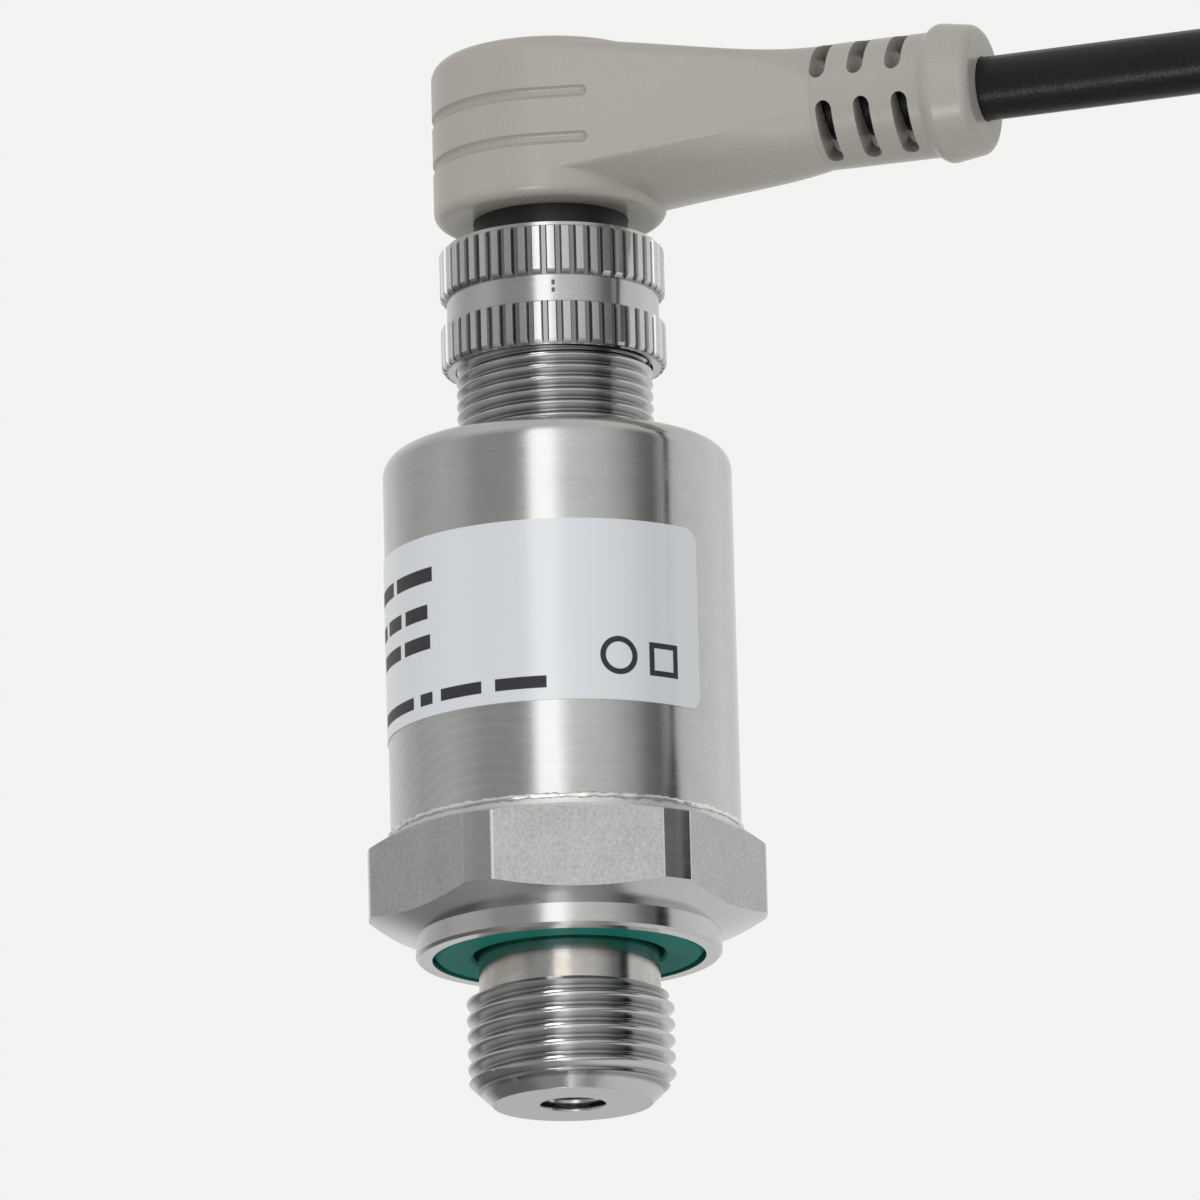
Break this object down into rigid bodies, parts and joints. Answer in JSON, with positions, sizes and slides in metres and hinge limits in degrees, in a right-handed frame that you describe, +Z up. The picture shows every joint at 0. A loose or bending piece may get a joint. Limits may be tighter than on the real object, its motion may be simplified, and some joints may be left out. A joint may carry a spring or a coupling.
{
  "type": "pressure transmitter",
  "caption": "Upright stainless pressure transmitter: threaded port with sealing ring, hexagon, labelled sleeve, and a knurled coupling nut holding a right-angle plug with its lead.",
  "frame": {"origin": "centre of the sealing face under the flange, on the axis of the threaded spigot", "axes": "+Z up the axis towards the plug, +X along the plug's arm towards the lead, -Z along the threaded spigot"},
  "size_m": [0.1689, 0.032, 0.1237],
  "materials": {
    "steel": "turned stainless steel, fine brushing round the axis",
    "green_seal": "dark green, satin",
    "black_seal": "black, satin",
    "gauge_film": "amber film with thin metal tracks",
    "board_green": "green lacquer",
    "black_plastic": "moulded, satin",
    "component_black": "moulded chips and parts",
    "flex_amber": "amber film",
    "label_white": "pale printed film, satin",
    "grey_plastic": "grey-beige moulding, satin",
    "lead_black": "black sheath, satin",
    "core_white": "coloured core sheaths",
    "contact_brass": "gold-plated"
  },
  "bodies": {
    "transmitter": {"process_fitting": "steel", "seal_ring": "green_seal", "inner_seal_ring": "black_seal", "measuring_cell": "steel", "strain_gauge": "gauge_film", "gauge_board": "board_green", "board_carrier": "black_plastic", "main_board": "board_green", "board_components": "component_black", "flex_lead": "flex_amber", "housing_sleeve": "steel", "type_label": "label_white", "connector_spigot": "steel", "spigot_seal_ring": "black_seal", "pin_carrier": "black_plastic", "contact_pin_1": "contact_brass", "contact_pin_2": "contact_brass", "contact_pin_3": "contact_brass", "contact_pin_4": "contact_brass", "contact_pin_5": "contact_brass"},
    "plug": {"plug_housing": "grey_plastic", "contact_carrier": "black_plastic", "face_seal": "black_seal", "cable_root": "lead_black", "lead_cord": "lead_black", "cord_coil": "lead_black", "cord_tie": "black_plastic", "lead_tail": "lead_black", "end_cores": "core_white", "end_ferrules": "contact_brass", "socket_contact_1": "contact_brass", "socket_contact_2": "contact_brass", "socket_contact_3": "contact_brass", "socket_contact_4": "contact_brass", "socket_contact_5": "contact_brass", "core_1": "core_white", "core_2": "core_white", "core_3": "core_white", "core_4": "core_white", "core_5": "core_white"},
    "nut": {"coupling_nut": "steel"}
  },
  "joints": [
    {"name": "nut_turn", "type": "hinge", "parent": "plug", "child": "nut", "pos_m": [0, 0, 0.0538], "axis": [0, 0, 1], "range_deg": [0, 2452]},
    {"name": "plug_lift", "type": "slide", "parent": "transmitter", "child": "plug", "axis": [0, 0, 1], "range_m": [0, 0.0068]}
  ],
  "couplings": [
    {"joint": "nut_turn", "follows": "plug_lift", "rad_per_m": 6283.2}
  ]
}
